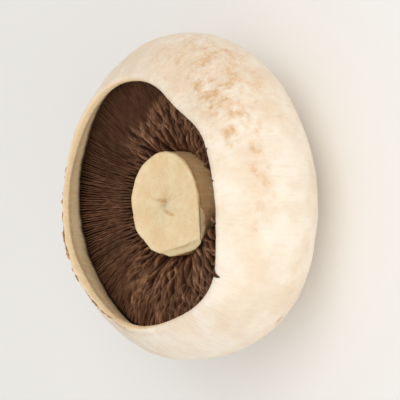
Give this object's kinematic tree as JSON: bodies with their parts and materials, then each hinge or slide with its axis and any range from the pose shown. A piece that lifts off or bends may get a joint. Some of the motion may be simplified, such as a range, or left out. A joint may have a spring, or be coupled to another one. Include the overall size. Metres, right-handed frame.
{
  "type": "portobello mushroom",
  "caption": "Large open mushroom with a thick pale cap curled in at its rim, a hollow full of dark brown gills, and a stem cut short below the rim.",
  "frame": {"origin": "middle of the small flat spot on the cap's crown, which the mushroom rests on", "axes": "+Z along the stem, from the crown to the stem's cut face, so the gills face up; -Y towards the side of the rim that the picture looks over"},
  "size_m": [0.0896, 0.0866, 0.0446],
  "materials": {
    "cap_flesh": "matt skin, cream white with tan patches",
    "gill_tissue": "matt, dark chocolate brown",
    "stem_flesh": "matt cut face, pale tan, with browned sides"
  },
  "bodies": {
    "root": {"cap": "cap_flesh", "gills": "gill_tissue", "stem": "stem_flesh"}
  },
  "joints": []
}
